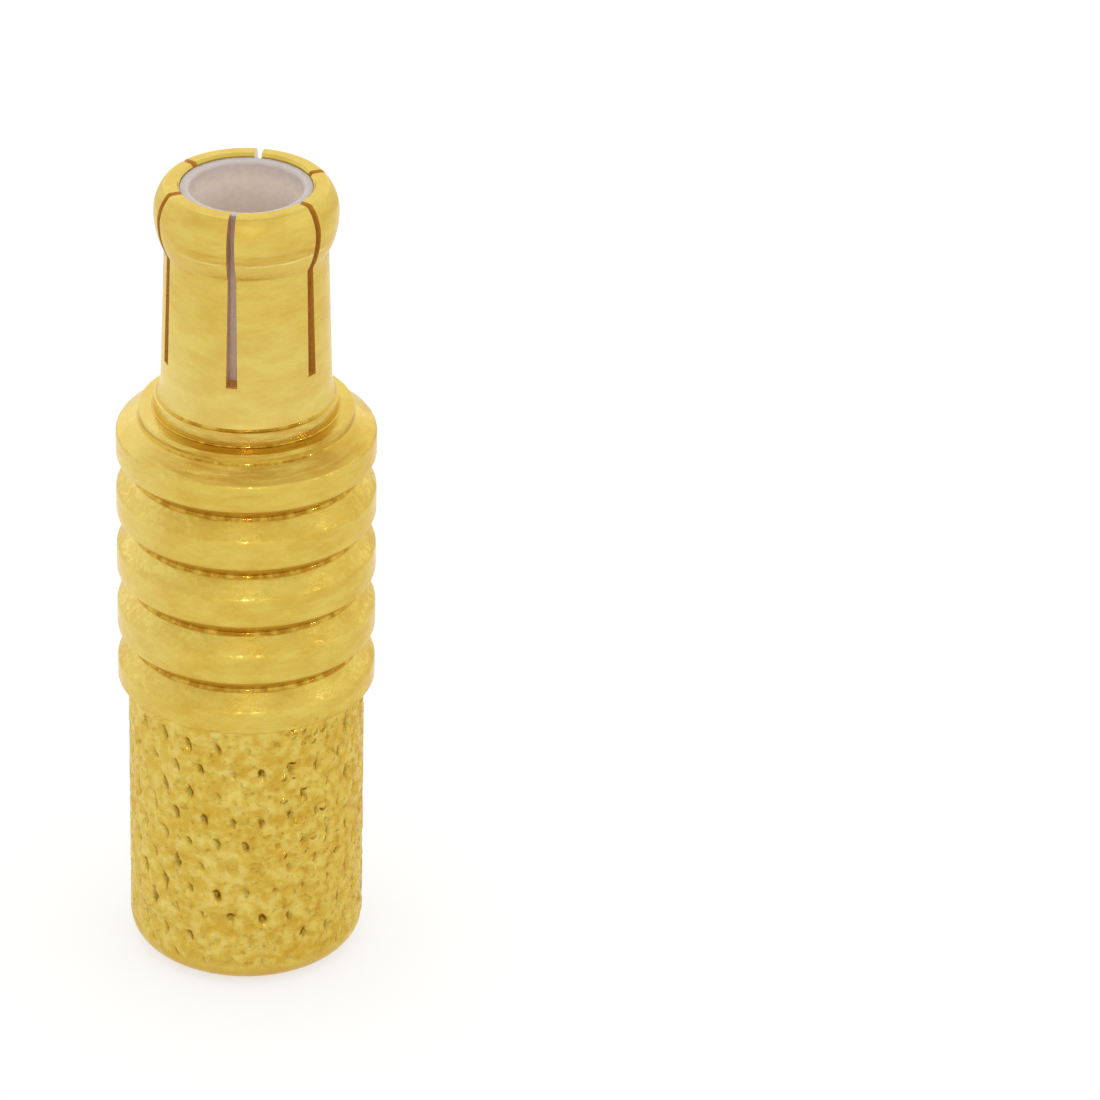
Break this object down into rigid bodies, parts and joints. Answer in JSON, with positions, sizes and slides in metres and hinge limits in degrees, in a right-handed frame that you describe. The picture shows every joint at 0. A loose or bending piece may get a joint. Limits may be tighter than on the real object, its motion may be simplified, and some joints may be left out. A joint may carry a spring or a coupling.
{
  "type": "mcx crimp plug",
  "caption": "Small push-fit coaxial plug with a slotted spring nose, a ringed grip and a knurled crimp barrel for the cable.",
  "frame": {"origin": "centre of the rear face of the crimp barrel, on the plug's axis", "axes": "+Z along the plug's axis, from the cable end towards the mating end; -Y is the side that faces the camera"},
  "size_m": [0.0052, 0.0052, 0.0171],
  "materials": {
    "gold_plated_body": "satin",
    "gold_plated_contact": "satin",
    "white_ptfe": "matte",
    "gold_plated_pin": "polished"
  },
  "bodies": {
    "root": {"body": "gold_plated_body", "outer_contact": "gold_plated_contact", "insulator": "white_ptfe", "centre_contact": "gold_plated_pin"}
  },
  "joints": []
}
